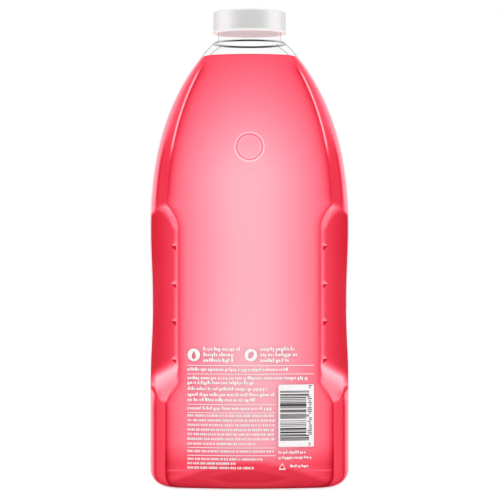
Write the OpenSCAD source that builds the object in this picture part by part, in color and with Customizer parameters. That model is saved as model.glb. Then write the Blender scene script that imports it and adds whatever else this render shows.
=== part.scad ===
// Two litre refill bottle for household cleaner: a clear blown bottle with a moulded grip in each side,
// the cleaner in it, and a screw cap with its foam liner.
// It stands on z = 0 with its printed face towards -Y.

/* [Body] */
// Width of the body across its sides
body_w = 126.8; // [116:0.2:136]
// Depth of the body from front to back
body_d = 80; // [72:0.5:88]
// Height at which the shoulder starts to draw in
shoulder_z = 148; // [130:1:160]
// Height at which the neck leaves the shoulder
neck_foot_z = 281; // [270:1:300]
// Width of the ledge between the neck and the edge of the shoulder
ledge_w = 2.2; // [1.6:0.1:4]
// Wall of the blown body
wall = 0.6; // [0.5:0.1:1.2]
// Width of the front panel between its two creases
panel_w = 105; // [96:0.5:108]
// Depth by which the front panel bows out between its creases
panel_bow = 8.4; // [5:0.2:12]
// Width of the bevel beside the front panel
bevel_w = 6; // [4:0.2:8]
// Depth of the bevel beside the front panel
bevel_d = 7.6; // [5:0.2:10]

/* [Base] */
// Radius of the heel round the base
heel_r = 10; // [6:0.5:13]
// Width of the flat ring that the bottle stands on
foot_w = 4; // [3:0.5:8]
// Height by which the middle of the base is pushed up
push_up = 9; // [4:0.5:14]

/* [Grip] */
// Height of the grip's lower end
grip_bottom = 54; // [46:0.5:60]
// Height of the grip's upper end
grip_top = 178; // [172:0.5:184]
// Distance of the grip's inner edge from the middle of the front
grip_edge_x = 44.3; // [41:0.1:47]
// Depth of the step at the grip's inner edge
grip_step = 3.5; // [2:0.1:4.5]
// Depth of the waist in the middle of the side
grip_waist = 1.4; // [0.5:0.1:2.5]
// Height of the middle of the lowest finger nub
nub_z = 81.3; // [79:0.1:84]
// Distance between finger nubs
nub_pitch = 23.4; // [20:0.1:25]
// Length by which a nub stands out from the grip's edge
nub_reach = 3; // [1:0.1:4]
// Height of a nub
nub_h = 6; // [4:0.2:8]

/* [Neck and cap] */
// Outer diameter of the neck below its thread
neck_d = 39.6; // [38:0.1:41]
// Wall of the neck
neck_wall = 2; // [1.6:0.1:2.4]
// Height of the neck above the shoulder
neck_h = 16.2; // [14:0.1:19]
// Room for the thread between the neck and the cap's skirt
thread_room = 1.8; // [1.4:0.1:2.4]
// Wall of the cap's skirt
cap_wall = 1.6; // [1:0.1:1.7]
// Thickness of the cap's top
cap_top = 1.6; // [1:0.1:2.4]
// Height of the cap
cap_h = 13.7; // [10:0.1:15]
// Radius of the cap's upper edge
cap_round = 1; // [0.4:0.1:1.4]
// Thickness of the liner under the cap's top
liner_t = 1.2; // [0.6:0.1:2]

/* [Contents] */
// Height of the cleaner's surface
fill_z = 271.8; // [266:0.1:274]

/* [Badge] */
// Height of the middle of the raised ring on the front
badge_z = 213; // [205:0.5:225]
// Outer diameter of the raised ring
badge_d = 15.6; // [10:0.2:20]
// Width of the raised ring
badge_ring_w = 1.2; // [0.8:0.1:2]
// Height by which the ring stands out
badge_h = 0.5; // [0.3:0.1:1]

/* [Print] */
// Height of the top of the printed block
print_top = 89.6; // [84:0.2:96]
// Distance from the middle of the front to the block's left edge
print_left = 38.3; // [34:0.1:40]
// Distance from the middle of the front to the block's right edge
print_right = 39.8; // [38:0.1:41]
// Height of a line of print
line_h = 1.5; // [1:0.1:1.8]
// Thickness of a ruled line
rule_h = 0.4; // [0.3:0.1:0.6]
// Radius of the two round marks
mark_r = 3.9; // [3:0.1:4.3]
// Width of the barcode's white field
field_w = 22; // [18:0.5:22.5]
// Height of the barcode's white field
field_h = 38.5; // [34:0.5:39]
// Length of the barcode's shorter bars
bar_w = 16.2; // [12:0.2:17]
// Width of the barcode's thinnest bar
bar_step = 0.322; // [0.28:0.002:0.34]

/* [Hidden] */

$fn = 96;
half_w = body_w / 2;
half_d = body_d / 2;
neck_r = neck_d / 2;
bore_r = neck_r - neck_wall;
neck_foot_r = neck_r + ledge_w;
lip_z = neck_foot_z + neck_h;
skirt_r = neck_r + thread_room;
cap_r = skirt_r + cap_wall;
cap_top_z = lip_z + liner_t + cap_top;
cap_foot_z = cap_top_z - cap_h;
bead_h = 1.5;             // the bead round the foot of the cap
bead_out = 0.25;
liner_gap = 0.4;          // between the liner's rim and the cap's skirt
fill_gap = 0.3;           // between the cleaner and the wall
throat_gap = 0.4;         // the blown throat stands this far outside the bore
neck_root = 1.6;          // depth to which the neck is sunk in the shoulder
neck_fillet = 0.9;
lip_round = 0.5;
badge_root = 0.3;         // depth to which the ring is sunk in the wall
ink_gap = 0.04;           // between the wall and the print, and between two layers of print
ink_t = 0.1;
shoulder_power = 2.76;    // shape of the shoulder from the front
shoulder_round = 1.1;
flank_power = 2.4;        // shape of the shoulder from the side
panel_fade = 20;          // height over which the creases fade out below the neck
wall_fade = 42;           // height over which the wall thickens below the neck
lip_x = 0.6;              // half the width of the grip's rounded edge
lip_share = 0.5;          // where the middle of that edge lies, as a share of the step
grip_top_curve = 16;      // length of the curve at the grip's upper end
grip_bottom_slope = 13;   // length of the straight slope at its lower end
grip_top_ramp = 9;        // length over which the grip sinks in at its upper end
grip_bottom_ramp = 32;
side_dip = 6;             // how far the grip's upper end comes down towards the middle of the side
side_rise = 7;            // how far its lower end goes up there
nub_count = 4;

// Columns in a quarter of a section: the front panel, the grip's edge, and the side
front_n = 5;
lip_n = 2;
side_n = 6;
quarter_n = front_n + lip_n + side_n;
ring_n = 4 * quarter_n;

function mix(a, b, t) = a + (b - a) * t;
function clamp01(t) = max(0, min(1, t));
function smooth(t) = let (c = clamp01(t)) c * c * (3 - 2 * c);
function early(t) = let (c = clamp01(t)) 1 - (1 - c) * (1 - c);

// Half the width and half the depth of the body at height z
function shoulder(z, power) =
    let (s = clamp01((z - shoulder_z) / (neck_foot_z - shoulder_z)))
    pow(max(0, 1 - pow(s, power)), 1 / shoulder_round);
function width_at(z) = mix(neck_foot_r, half_w, shoulder(z, shoulder_power));
function depth_at(z) = mix(neck_foot_r, half_d, shoulder(z, flank_power));
function wall_at(z) =
    let (u = clamp01((z - neck_foot_z + wall_fade) / wall_fade))
    mix(wall, neck_foot_r - bore_r - throat_gap, u * u);

// How far the grip's edge has moved in at height z, and how far its floor has sunk there. s runs from the
// edge, 0, to the middle of the side, 1, where the grip is shorter
function edge_share(z) =
    min(early((grip_top - z) / grip_top_curve), clamp01((z - grip_bottom) / grip_bottom_slope));
function sink_share(z, s) =
    min(early((grip_top - side_dip * s * s - z) / grip_top_ramp),
        smooth((z - grip_bottom - side_rise * s * s) / grip_bottom_ramp));
function waist_at(z) =
    let (t = clamp01((z - grip_bottom) / (grip_top - grip_bottom)))
    grip_waist * pow(sin(180 * t), 3);
nub_heights = [for (i = [0 : nub_count - 1]) nub_z + i * nub_pitch];
function nub_at(z) = max([for (h = nub_heights) clamp01(1 - abs(z - h) / (nub_h / 2))]);

// The front of a section: an arc through the middle of the panel and its crease
function arc_r(x, bow) = (x * x + bow * bow) / (2 * bow);
function front_y(x, w, d) =
    let (r = arc_r(w * panel_w / body_w, panel_bow * d / half_d))
    d - r + sqrt(max(0, r * r - x * x));

bevel_shares = [0.15, 0.9];   // the bevel's own two columns, clear of its corners
side_from = 1.7;              // the rest start this many columns along, past the bevel's outer corner
// The plain side of a section: a bevel, then a bowed side panel up to the middle of the side
function side_plain(i, w, d, edge) =
    let (
        crease_x = w * panel_w / body_w,
        crease_y = front_y(crease_x, w, d),
        bevel_x = crease_x + bevel_w * w / half_w,
        bevel_y = crease_y - bevel_d * d / half_d
    )
    i < 2 ? mix([crease_x, crease_y], [bevel_x, bevel_y], bevel_shares[i]) :
    let (y = bevel_y * (side_n - i) / (side_n - side_from))
    [w - (w - bevel_x) * y * y / (bevel_y * bevel_y), y];

// The sunk side of a section: a quarter oval from the foot of the grip's step to the waist
function side_sunk(i, w, start, waist) =
    let (a = 90 * i / side_n)
    [mix(start.x, w - waist, sin(a)), start.y * cos(a)];

// One point of a quarter of a section, from the middle of the front to the middle of the side. A nub moves
// only the edge's last column and the foot of the step, so it is a small wedge in the corner of the grip
function quarter_point(q, z, w, d, inner, nub) =
    let (
        moved = edge_share(z),
        s = max(0, q - front_n - lip_n) / side_n,
        sunk = sink_share(z, s),
        crease_x = w * panel_w / body_w,
        edge_x = mix(crease_x - lip_x, grip_edge_x - inner, moved),
        edge_y = front_y(edge_x, w, d),
        foot = [edge_x + 2 * lip_x, edge_y - grip_step],
        wedge = nub * nub_reach
    )
    q <= front_n ? [edge_x * q / front_n, front_y(edge_x * q / front_n, w, d)] :
    q < front_n + lip_n ?
        mix([crease_x, front_y(crease_x, w, d)],
            [edge_x + lip_x + wedge * lip_share, edge_y - grip_step * lip_share], sunk) :
    let (i = q - front_n - lip_n)
    mix(side_plain(i, w, d), side_sunk(i, w, foot, waist_at(z)) + [i == 0 ? wedge : 0, 0], sunk);

// A section fades to a circle below the neck
function quarter_faded(q, z, w, d, inner, nub) =
    let (
        p = quarter_point(q, z, w, d, inner, nub),
        u = [p.x / w, p.y / d] / norm([p.x / w, p.y / d]),
        share = smooth((neck_foot_z - z) / panel_fade)
    )
    mix([u.x * w, u.y * d], p, share);

// A closed ring of points at height z, drawn in by inset
function ring(z, inset, at_z, nubs = 0) = [
    for (k = [0 : ring_n - 1])
    let (
        quarter = floor(k / quarter_n),
        r = k - quarter * quarter_n,
        q = quarter % 2 == 0 ? r : quarter_n - r,
        p = quarter_faded(q, z, width_at(z) - inset, depth_at(z) - inset, inset, nubs * nub_at(z))
    )
    [quarter < 2 ? p.x : -p.x, quarter % 3 == 0 ? -p.y : p.y, at_z]
];

// Rings of the pushed-up base, from its middle to the foot, lifted by up
base_shares = [0.4, 0.75, 1];
function base_rings(inset, up) = [
    for (f = base_shares)
    let (edge = ring(0, heel_r + foot_w, 0))
    [for (p = edge) [p.x * f, p.y * f, up + push_up * (1 - pow(f, 3))]]
];
// Rings of the heel, with the wall between it and the outside
function heel_rings(t) = [
    for (a = [0 : 22.5 : 90])
    ring(0, heel_r - (heel_r - t) * sin(a), heel_r - (heel_r - t) * cos(a))
];
function outer_rings(heights) = [for (z = heights) ring(z, 0, z, 1)];
function inner_rings(heights, gap) = [for (z = heights) ring(z, wall_at(z) + gap, z)];

grip_low_z = [for (s = [0, 0.07, 0.2, 0.42, 0.7]) grip_bottom + s * grip_bottom_ramp];
grip_high_z = [for (s = [0.82, 0.5, 0.28, 0.1, 0]) grip_top - s * grip_top_curve];
nub_rings_z = [for (h = nub_heights, s = [-1, 0, 1]) h + s * nub_h / 2];
shoulder_low_z = [for (s = [0.12, 0.28, 0.43, 0.56, 0.68, 0.79, 0.9]) mix(grip_top, fill_z, s)];
shoulder_high_z = [for (s = [0, 0.35, 0.65, 0.85, 1]) mix(fill_z, neck_foot_z, s)];

outer_z = concat(grip_low_z, nub_rings_z, grip_high_z, shoulder_low_z, shoulder_high_z);
inner_z = concat(grip_low_z, nub_heights, grip_high_z, shoulder_low_z, shoulder_high_z);
cleaner_z = concat(grip_low_z, nub_heights, grip_high_z, shoulder_low_z, [fill_z]);

function reversed(list) = [for (i = [len(list) - 1 : -1 : 0]) list[i]];

// A closed skin through rings, from a first to a last single point. The first rings_up of them climb, and
// the rest come down inside them: the diagonals are swapped there, so that both sides of the wall run alike
module skin(rings, first, last, rings_up) {
    n = len(rings);
    points = concat([first], [for (r = rings) for (p = r) p], [last]);
    end = len(points) - 1;
    sides = [
        for (j = [0 : n - 2], k = [0 : ring_n - 1])
        let (
            next = (k + 1) % ring_n,
            a = 1 + j * ring_n + k,
            b = 1 + j * ring_n + next,
            c = a + ring_n,
            d = b + ring_n,
            turned = (floor(k / quarter_n) % 2 == 1) != (j >= rings_up)
        )
        each (turned ? [[a, d, b], [a, c, d]] : [[a, c, b], [b, c, d]])
    ];
    foot = [for (k = [0 : ring_n - 1]) [0, 1 + k, 1 + (k + 1) % ring_n]];
    top = [for (k = [0 : ring_n - 1]) [end, end - ring_n + (k + 1) % ring_n, end - ring_n + k]];
    polyhedron(points, concat(foot, sides, top));
}

// The blown body: outside from the base up, over the throat's edge, and down the inside
module blown_body() {
    outside = concat(base_rings(0, 0), heel_rings(0), outer_rings(outer_z));
    inside = concat(base_rings(0, wall), heel_rings(wall), inner_rings(inner_z, 0));
    skin(concat(outside, reversed(inside)), [0, 0, push_up], [0, 0, push_up + wall], len(outside));
}

// The neck, turned, with a rounded lip and a fillet to the shoulder
module neck() {
    rotate_extrude() {
        difference() {
            translate([bore_r, neck_foot_z - neck_root]) square([neck_wall, neck_h + neck_root]);
            translate([neck_r - lip_round, lip_z - lip_round]) square(lip_round * 2);
        }
        translate([neck_r - lip_round, lip_z - lip_round]) circle(lip_round);
        difference() {
            translate([neck_r - 0.2, neck_foot_z - 0.2]) square(neck_fillet + 0.2);
            translate([neck_r + neck_fillet, neck_foot_z + neck_fillet]) circle(neck_fillet);
        }
    }
}

// The raised ring on the front, square to the wall that it stands on
module badge() {
    lean = atan2(depth_at(badge_z - 1) - depth_at(badge_z + 1), 2);
    translate([0, -depth_at(badge_z), badge_z]) rotate([90 - lean, 0, 0])
        rotate_extrude()
            translate([badge_d / 2 - badge_ring_w, -badge_root])
                square([badge_ring_w, badge_h + badge_root]);
}

module bottle() {
    color([0.93, 0.96, 0.97, 0.35]) union() {
        blown_body();
        neck();
        badge();
    }
}

module cleaner() {
    lift = wall + fill_gap;
    rings = concat(base_rings(0, lift), heel_rings(lift), inner_rings(cleaner_z, fill_gap));
    color([0.98, 0.36, 0.46, 0.9]) skin(rings, [0, 0, push_up + lift], [0, 0, fill_z], len(rings));
}

// Keeps what lies in a thin coat of ink over the front panel, with so many coats below it
module coat(below = 0) {
    r = arc_r(panel_w / 2, panel_bow) + ink_gap + below * (ink_t + ink_gap);
    intersection() {
        translate([0, r - half_d - ink_gap - below * (ink_t + ink_gap), 0])
            linear_extrude(shoulder_z) difference() {
                circle(r + ink_t, $fn = 360);
                circle(r, $fn = 360);
            }
        translate([0, -half_d - 1, 0]) children();
    }
}

// A printed rectangle from x0 to x1, whose middle lies drop below the top of the block
module stripe(x0, x1, drop, h) {
    translate([x0, 0, print_top - drop - h / 2]) cube([x1 - x0, panel_bow + 2, h]);
}

// The same with rounded corners
module plate(x0, x1, drop, h, r) {
    outline = [
        for (i = [0 : 3], a = [0 : 22.5 : 90])
        let (x = i % 3 == 0 ? x1 - r : x0 + r, z = i < 2 ? h - r : r)
        [x + r * cos(90 * i + a), z + r * sin(90 * i + a)]
    ];
    translate([0, panel_bow + 2, print_top - drop - h / 2]) rotate([90, 0, 0])
        linear_extrude(panel_bow + 2) polygon(outline);
}

// Each line of print: how far it lies below the top of the block, and its length
print_lines = [[14.4, 62.5], [19.7, 75], [22.6, 42], [26.4, 50], [30, 54], [33.2, 42], [38.4, 53],
    [43, 54], [45.9, 54], [48.8, 54], [51.7, 54], [54.5, 54], [57.4, 54], [60.4, 43], [65, 54],
    [69.8, 47], [72.5, 31], [75.2, 41.5]];
small_line = 0.8;         // height of the small print, as a share of a line's
small_from = 40;          // the print from this far down is small
long_rules = [11.8, 17.1];
short_rules = [35.9, 41, 62.6, 67.4];
short_rule_w = 54.3;
marks_drop = 5.3;         // from the top of the block to the middle of the round marks
mark_pitch = 35.2;        // from one round mark to the next
mark_lines = 3;
mark_line_pitch = 3.5;
mark_line_w = 23;
mark_gap = 2;             // from a round mark to its lines
field_drop = 23.6;        // from the top of the block to the top of the barcode's field
field_round = 0.9;
notes = [[65.6, 0, 17], [68.8, 0, 21], [74.1, 7.4, 11.2]];    // drop, start and length under the field

module white_print() {
    color([0.98, 0.97, 0.97]) coat() union() {
        for (i = [0, 1]) {
            x = -print_left + mark_r + i * mark_pitch;
            translate([x, 0, print_top - marks_drop]) rotate([-90, 0, 0])
                cylinder(r = mark_r, h = panel_bow + 2);
            for (j = [0 : mark_lines - 1])
                stripe(x + mark_r + mark_gap, x + mark_r + mark_gap + mark_line_w,
                    marks_drop + (j - (mark_lines - 1) / 2) * mark_line_pitch, line_h);
        }
        for (l = print_lines)
            stripe(-print_left, -print_left + l[1], l[0], line_h * (l[0] > small_from ? small_line : 1));
        for (drop = long_rules) stripe(-print_left, print_right, drop, rule_h);
        for (drop = short_rules) stripe(-print_left, -print_left + short_rule_w, drop, rule_h);
        plate(print_right - field_w, print_right, field_drop + field_h / 2, field_h, field_round);
        for (n = notes)
            stripe(print_right - field_w + n[1], print_right - field_w + n[1] + n[2], n[0],
                line_h * small_line);
    }
}

// The barcode is a sample one, of twelve digits that count up. Each digit has two bars and two gaps that
// fill seven steps, and three guards of single steps stand before, between and after the two halves. The
// guards and the two outermost digits have longer bars
digit_steps = [[3, 2, 1, 1], [2, 2, 2, 1], [2, 1, 2, 2], [1, 4, 1, 1], [1, 1, 3, 2],
    [1, 2, 3, 1], [1, 1, 1, 4], [1, 3, 1, 2], [1, 2, 1, 3], [3, 1, 1, 2]];
half_digits = 6;
function half_steps(first) =
    [for (i = [0 : half_digits - 1]) each digit_steps[(first + i) % len(digit_steps)]];
outer_guard = [1, 1, 1];
middle_guard = [1, 1, 1, 1, 1];
steps = concat(outer_guard, half_steps(0), middle_guard, half_steps(half_digits), outer_guard);
long_n = len(outer_guard) + len(digit_steps[0]);      // so many bars and gaps at each end are long
middle_from = len(outer_guard) + len(half_steps(0));
function steps_before(i) = i == 0 ? 0 : steps_before(i - 1) + steps[i - 1];
bar_inset = 1.1;          // from the field's edge to the bars
guard_extra = 1.7;        // length by which the long bars run past the others
bar_fill = 0.9;           // width of a bar of one step, as a share of the step

module bar_print() {
    start = print_right - field_w + bar_inset;
    first = field_drop + (field_h - steps_before(len(steps)) * bar_step) / 2;
    color([0.12, 0.11, 0.13]) coat(1) union()
        for (i = [0 : 2 : len(steps) - 1]) {
            from_end = min(i, len(steps) - 1 - i);
            in_middle = i >= middle_from && i < middle_from + len(middle_guard);
            stripe(start, start + bar_w + (from_end < long_n || in_middle ? guard_extra : 0),
                first + (steps_before(i) + steps[i] / 2) * bar_step, (steps[i] - 1 + bar_fill) * bar_step);
        }
}

// The cap: a turned shell with a rounded upper edge and a bead round its foot
module cap() {
    color([0.9, 0.9, 0.91]) rotate_extrude() {
        difference() {
            union() {
                translate([0, cap_foot_z]) square([cap_r - bead_out, cap_h - cap_round]);
                translate([0, cap_foot_z]) square([cap_r, bead_h]);
                translate([0, cap_top_z - cap_round]) square([cap_r - bead_out - cap_round, cap_round]);
                translate([cap_r - bead_out - cap_round, cap_top_z - cap_round]) circle(cap_round);
            }
            translate([-1, cap_foot_z - 1]) square([skirt_r + 1, cap_h - cap_top + 1]);
        }
    }
}

module cap_liner() {
    color([0.96, 0.96, 0.95])
        translate([0, 0, lip_z]) cylinder(r = skirt_r - liner_gap, h = liner_t);
}

bottle();
cleaner();
white_print();
bar_print();
cap();
cap_liner();
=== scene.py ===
import math
import random
import bpy
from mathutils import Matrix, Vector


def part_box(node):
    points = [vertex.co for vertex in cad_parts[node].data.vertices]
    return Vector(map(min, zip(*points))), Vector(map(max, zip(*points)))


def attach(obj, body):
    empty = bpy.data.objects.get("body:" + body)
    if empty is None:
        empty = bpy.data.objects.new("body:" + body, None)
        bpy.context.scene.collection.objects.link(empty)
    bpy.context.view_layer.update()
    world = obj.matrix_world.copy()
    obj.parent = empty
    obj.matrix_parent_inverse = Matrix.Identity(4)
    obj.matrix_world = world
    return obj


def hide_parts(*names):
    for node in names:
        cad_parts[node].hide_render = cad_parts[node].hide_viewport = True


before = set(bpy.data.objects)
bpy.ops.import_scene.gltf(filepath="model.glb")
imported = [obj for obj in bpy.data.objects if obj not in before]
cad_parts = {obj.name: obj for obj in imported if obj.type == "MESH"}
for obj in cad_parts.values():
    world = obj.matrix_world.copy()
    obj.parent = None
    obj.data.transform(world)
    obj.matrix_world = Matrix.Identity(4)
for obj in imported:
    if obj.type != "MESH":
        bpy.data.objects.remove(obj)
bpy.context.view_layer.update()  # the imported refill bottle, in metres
bpy.context.scene.view_settings.view_transform = "Standard"

# Real sizes below are in millimetres, and become metres where a vertex is placed
mm = 0.001
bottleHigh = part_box("bottle")[1] / mm
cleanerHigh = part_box("cleaner")[1] / mm
capLow, capHigh = [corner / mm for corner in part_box("cap")]
linerLow, linerHigh = [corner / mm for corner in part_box("cap_liner")]
whiteLow, whiteHigh = [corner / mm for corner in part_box("white_print")]


def mix(a, b, t):
    return a + (b - a) * t


def clamp(t):
    return max(0.0, min(1.0, t))


def smooth(t):
    t = clamp(t)
    return t * t * (3 - 2 * t)


def ease(value, zero, one):
    # 0 up to the first place and 1 from the second one, which may also be the lower
    return smooth((value - zero) / (one - zero))


def early(t):
    return 1 - (1 - clamp(t)) ** 2


def bell(t):
    return math.exp(-t * t)


def spread(first, last, step):
    count = max(1, round(abs(last - first) / step))
    return [mix(first, last, i / count) for i in range(count + 1)]


# What each step of the modelling starts and ends with
def setMode(mode):
    bpy.ops.object.mode_set(mode=mode)


def selectMesh(action):
    bpy.ops.mesh.select_all(action=action)


def restart():
    if bpy.context.object and bpy.context.object.mode != "OBJECT":
        setMode("OBJECT")
    bpy.ops.object.select_all(action="DESELECT")


def pick(obj):
    restart()
    obj.select_set(True)
    bpy.context.view_layer.objects.active = obj
    return obj


def named(name):
    obj = bpy.context.object
    obj.name = name
    obj.data.name = name
    return obj


def settle(obj):
    pick(obj)
    bpy.ops.object.transform_apply(location=True, rotation=True, scale=True)
    return obj


def applyModifiers(obj):
    pick(obj)
    for modifier in list(obj.modifiers):
        bpy.ops.object.modifier_apply(modifier=modifier.name)
    return obj


def joinAll(pieces, name):
    pick(pieces[0])
    for piece in pieces[1:]:
        piece.select_set(True)
    if len(pieces) > 1:
        bpy.ops.object.join()
    return named(name)


def editFaces(obj, test):
    # goes into edit mode with only the faces selected whose middle and normal pass the test
    pick(obj)
    setMode("EDIT")
    bpy.ops.mesh.select_mode(type="FACE")
    selectMesh("DESELECT")
    setMode("OBJECT")
    for face in obj.data.polygons:
        face.select = bool(test(face.center / mm, face.normal))
    setMode("EDIT")


def editEnd(obj, side, z):
    # the same for the level faces at a height, facing up for a side of 1 and down for -1
    def atEnd(middle, normal):
        return normal.z * side > 0.9 and (middle.z - z) * side > -0.01

    editFaces(obj, atEnd)


def insets(*steps):
    # insets what is selected, once for each thickness and depth
    for thickness, depth in steps:
        bpy.ops.mesh.inset(thickness=thickness * mm, depth=depth * mm)


def sliceAcross(heights):
    # cuts level rings through the whole mesh in edit mode
    for z in heights:
        selectMesh("SELECT")
        bpy.ops.mesh.bisect(plane_co=(0, 0, z * mm), plane_no=(0, 0, 1))


def turnedBlank(name, sides, radius, low, high):
    # an upright cylinder between two heights
    restart()
    bpy.ops.mesh.primitive_cylinder_add(
        vertices=sides,
        radius=radius * mm,
        depth=(high - low) * mm,
        location=(0, 0, (low + high) / 2 * mm),
    )
    return settle(named(name))


def finishSmooth(obj, angle=40):
    pick(obj)
    bpy.ops.object.shade_smooth_by_angle(angle=math.radians(angle))
    return obj


# The camera stands where the photograph was taken from, level with the middle of the bottle
cameraView = {"x": 0.3, "distance": 1335.0, "z": 149.1, "lens": 151.2}


def makeCamera():
    view = cameraView
    place = (view["x"] * mm, -view["distance"] * mm, view["z"] * mm)
    bpy.ops.object.camera_add(location=place, rotation=(math.radians(90), 0, 0))
    camera = bpy.context.object
    camera.data.lens = view["lens"]
    camera.data.sensor_width = 36
    camera.data.clip_start = 0.01
    bpy.context.scene.camera = camera


# The bottle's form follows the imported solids, with finer columns and rows
bottleShape = {
    "halfWidth": bottleHigh.x,
    "halfDepth": bottleHigh.y,
    "lipZ": bottleHigh.z,
    "neckFootZ": bottleHigh.z - 16.2,
    "shoulderZ": 148.0,
    "shoulderPower": 2.76,
    "shoulderRound": 1.1,
    "flankPower": 2.4,
    "neckRadius": 19.8,
    "boreRadius": 17.8,
    "ledge": 2.2,
    "wall": 0.6,
    "throatRadius": 17.8,
    "wallFrom": 246.0,
    "wallTo": 272.0,
    "panelWidth": 105.0,
    "panelBow": 8.4,
    "bevelWidth": 6.0,
    "bevelDepth": 7.6,
    "panelFade": 20.0,
    "heelRadius": 10.0,
    "footWidth": 4.0,
    "pushUp": 9.0,
}
gripShape = {
    "bottom": 54.0,
    "top": 178.0,
    "edgeX": 44.3,
    "step": 3.5,
    "rimWidth": 1.2,
    "waist": 1.4,
    "topCurve": 16.0,
    "bottomSlope": 13.0,
    "topRamp": 9.0,
    "bottomRamp": 32.0,
    "sideDip": 6.0,
    "sideRise": 7.0,
    "nubZ": 81.3,
    "nubPitch": 23.4,
    "nubCount": 4,
    "nubReach": 3.0,
    "nubHeight": 6.0,
    "nubSide": 0.12,
}


def shoulder(z, power):
    shape = bottleShape
    s = clamp((z - shape["shoulderZ"]) / (shape["neckFootZ"] - shape["shoulderZ"]))
    return max(0.0, 1 - s**power) ** (1 / shape["shoulderRound"])


def halfSize(z, side, power):
    shape = bottleShape
    return mix(shape["neckRadius"] + shape["ledge"], shape[side], shoulder(z, shape[power]))


def halfWidth(z):
    return halfSize(z, "halfWidth", "shoulderPower")


def halfDepth(z):
    return halfSize(z, "halfDepth", "flankPower")


def wallAt(z):
    shape = bottleShape
    thick = shape["neckRadius"] + shape["ledge"] - shape["throatRadius"]
    return mix(shape["wall"], thick, ease(z, shape["wallFrom"], shape["wallTo"]))


def edgeShare(z):
    grip = gripShape
    return min(early((grip["top"] - z) / grip["topCurve"]), clamp((z - grip["bottom"]) / grip["bottomSlope"]))


def sinkShare(z, s):
    grip = gripShape
    top = grip["top"] - grip["sideDip"] * s * s
    bottom = grip["bottom"] + grip["sideRise"] * s * s
    return min(early((top - z) / grip["topRamp"]), smooth((z - bottom) / grip["bottomRamp"]))


def waistAt(z):
    grip = gripShape
    t = clamp((z - grip["bottom"]) / (grip["top"] - grip["bottom"]))
    return grip["waist"] * math.sin(math.pi * t) ** 3


def nubHeights():
    return [gripShape["nubZ"] + i * gripShape["nubPitch"] for i in range(gripShape["nubCount"])]


def nubShare(z):
    grip = gripShape
    near = min(abs(z - height) for height in nubHeights())
    return clamp(1 - near / (grip["nubHeight"] / 2))


def frontY(x, w, d):
    shape = bottleShape
    half = w * shape["panelWidth"] / (2 * shape["halfWidth"])
    bow = shape["panelBow"] * d / shape["halfDepth"]
    radius = (half * half + bow * bow) / (2 * bow)
    return d - radius + math.sqrt(max(0.0, radius * radius - x * x))


# Columns of a quarter of a section: along the front panel, over the grip's rim, and round the side
frontColumns = [0, 0.16, 0.32, 0.48, 0.63, 0.77, 0.88, 0.945, 0.975, 1]
rimColumns = [(0.08, 0.12, 0.03), (0.3, 0.4, 0.3), (0.7, 0.62, 0.72), (0.92, 0.88, 0.97)]
sideColumns = [0, 0.05, 0.16, 0.29, 0.42, 0.55, 0.68, 0.8, 0.9, 1]
columnCount = len(frontColumns) + len(rimColumns) + len(sideColumns)


def quarterPoint(column, z, w, d, inset):
    shape, grip = bottleShape, gripShape
    crease = w * shape["panelWidth"] / (2 * shape["halfWidth"])
    creaseY = frontY(crease, w, d)
    bevelX = crease + shape["bevelWidth"] * w / shape["halfWidth"]
    bevelY = creaseY - shape["bevelDepth"] * d / shape["halfDepth"]
    edgeX = mix(crease, grip["edgeX"] - inset, edgeShare(z))
    edgeY = frontY(edgeX, w, d)
    if column < len(frontColumns):
        x = edgeX * frontColumns[column]
        return x, frontY(x, w, d)
    nub = nubShare(z) * grip["nubReach"]
    column -= len(frontColumns)
    if column < len(rimColumns):
        bevelShare, rimShare, stepShare = rimColumns[column]
        sunk = sinkShare(z, 0)
        x = mix(mix(crease, bevelX, bevelShare), edgeX + (grip["rimWidth"] + nub) * rimShare, sunk)
        y = mix(mix(creaseY, bevelY, bevelShare), edgeY - grip["step"] * stepShare, sunk)
        return x, y
    s = sideColumns[column - len(rimColumns)]
    sunk = sinkShare(z, s)
    plainY = bevelY * (1 - s)
    plainX = w - (w - bevelX) * (plainY / bevelY) ** 2
    angle = math.pi / 2 * s
    sunkX = mix(edgeX + grip["rimWidth"], w - waistAt(z), math.sin(angle))
    sunkX += nub * clamp(1 - s / grip["nubSide"])
    sunkY = (edgeY - grip["step"]) * math.cos(angle)
    return mix(plainX, sunkX, sunk), mix(plainY, sunkY, sunk)


def sectionPoint(column, z, inset):
    # a section of the body, which fades to an oval below the neck
    w, d = halfWidth(z) - inset, halfDepth(z) - inset
    x, y = quarterPoint(column, z, w, d, inset)
    length = math.hypot(x / w, y / d)
    share = smooth((bottleShape["neckFootZ"] - z) / bottleShape["panelFade"])
    return mix(x / length, x, share), mix(y / length, y, share)


def rowPoint(row, column):
    # a row is its kind and two values: see where the rows are listed
    kind, a, b = row
    heel, foot = bottleShape["heelRadius"], bottleShape["footWidth"]
    if kind == "base":
        x, y = sectionPoint(column, 0, heel + foot)
        return x * a, y * a, b + bottleShape["pushUp"] * (1 - a**3)
    if kind == "foot":
        x, y = sectionPoint(column, 0, heel + foot * a)
        return x, y, b
    if kind == "heel":
        drawn = heel - (heel - b) * math.sin(a)
        x, y = sectionPoint(column, 0, drawn)
        return x, y, heel - (heel - b) * math.cos(a)
    if kind == "body":
        x, y = sectionPoint(column, a, b)
        return x, y, a
    if kind == "surface":
        x, y = sectionPoint(column, b, bottleShape["wall"] + cleanerShape["gap"])
        return x * a, y * a, b
    x, y = sectionPoint(column, bottleShape["neckFootZ"], 0)
    length = math.hypot(x, y)
    return x / length * a, y / length * a, b


def baseRows(wall):
    # the share of the foot's size and the wall, then the share of the foot's width, then the heel's angle
    rows = [("base", share, wall) for share in [0, 0.12, 0.3, 0.48, 0.64, 0.78, 0.89, 0.96]]
    rows += [("foot", share, wall) for share in [1, 0.5]]
    rows += [("heel", math.radians(angle), wall) for angle in [0, 12, 28, 45, 62, 78, 90]]
    return rows


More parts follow.
